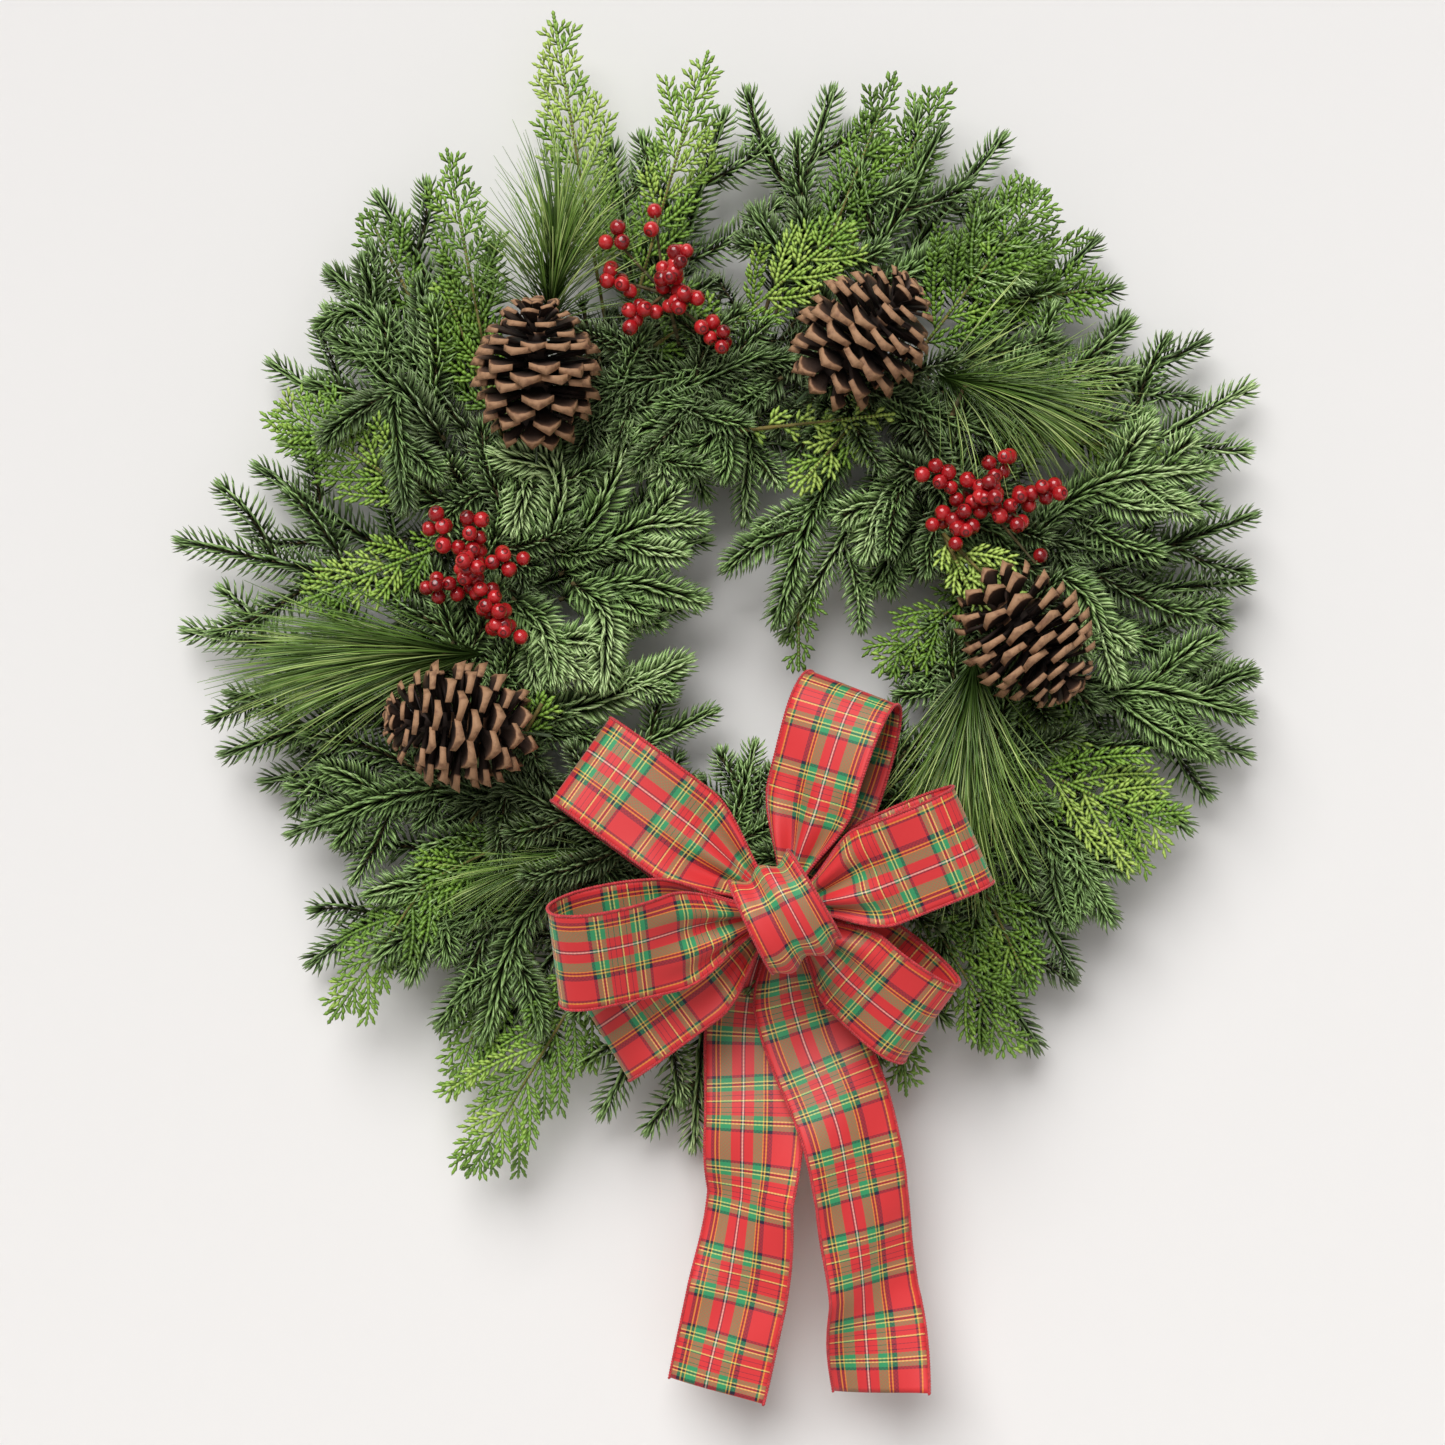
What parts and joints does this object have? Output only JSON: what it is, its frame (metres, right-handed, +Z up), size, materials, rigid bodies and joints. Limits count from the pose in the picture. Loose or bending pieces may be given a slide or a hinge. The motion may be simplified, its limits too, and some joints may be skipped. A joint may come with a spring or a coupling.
{
  "type": "evergreen wreath",
  "caption": "Round fresh evergreen wreath for a wall, with fir, cedar and pine, cones, red berries and a looped tartan ribbon bow at its lower right.",
  "frame": {"origin": "on the flat on the underside of the wire ring at its top, where a wall hook carries the wreath", "axes": "+X to the right of the wreath as seen from the front, +Y from the front of the wreath into the wall, +Z up"},
  "size_m": [0.7006, 0.1642, 0.8859],
  "materials": {
    "ring_wire": "green painted steel wire",
    "tie_wire": "green paddle wire",
    "fir": "waxy blue-green fir needles",
    "cedar": "satin yellow-green scale leaves",
    "pine": "satin bright green needles",
    "cone": "dry matt woody scales with tan lips",
    "berry": "glossy red",
    "ribbon": "woven tartan ribbon with a stitched wired edge"
  },
  "bodies": {
    "root": {"wire_ring": "ring_wire", "binding_wire": "tie_wire", "pine_cone_1": "cone", "pine_cone_2": "cone", "pine_cone_3": "cone", "pine_cone_4": "cone", "bow_loop_upper_left": "ribbon", "bow_loop_top": "ribbon", "bow_loop_right": "ribbon", "bow_loop_lower_right": "ribbon", "bow_loop_left": "ribbon", "bow_loop_lower_left": "ribbon", "bow_centre_loop": "ribbon", "ribbon_tail_left": "ribbon", "ribbon_tail_right": "ribbon", "bow_pinch": "ribbon", "bow_wire": "tie_wire", "cone_wire_1": "tie_wire", "cone_wire_2": "tie_wire", "cone_wire_3": "tie_wire", "cone_wire_4": "tie_wire", "berry_spray_1": "berry", "berry_spray_2": "berry", "berry_spray_3": "berry", "cedar_inner_right": "cedar", "cedar_upper_right_fan": "cedar", "cedar_top_right": "cedar", "cedar_bright_top": "cedar", "cedar_top_tall": "cedar", "cedar_upright_left": "cedar", "cedar_bright_left": "cedar", "cedar_long_left": "cedar", "cedar_hanging_left": "cedar", "cedar_bottom": "cedar", "cedar_lower_right": "cedar", "cedar_right_fan": "cedar", "pine_tuft_1": "pine", "pine_tuft_2": "pine", "pine_tuft_3": "pine", "pine_tuft_4": "pine", "pine_tuft_5": "pine", "fir_bunch_1": "fir", "fir_bunch_2": "fir", "fir_bunch_3": "fir", "fir_bunch_4": "fir", "fir_bunch_5": "fir", "fir_bunch_6": "fir", "fir_bunch_7": "fir", "fir_bunch_8": "fir", "fir_bunch_9": "fir", "fir_bunch_10": "fir", "fir_bunch_11": "fir", "fir_bunch_12": "fir", "fir_bunch_13": "fir", "fir_bunch_14": "fir", "fir_bunch_15": "fir", "fir_bunch_16": "fir", "fir_bunch_17": "fir", "fir_bunch_18": "fir", "fir_bunch_19": "fir"}
  },
  "joints": []
}
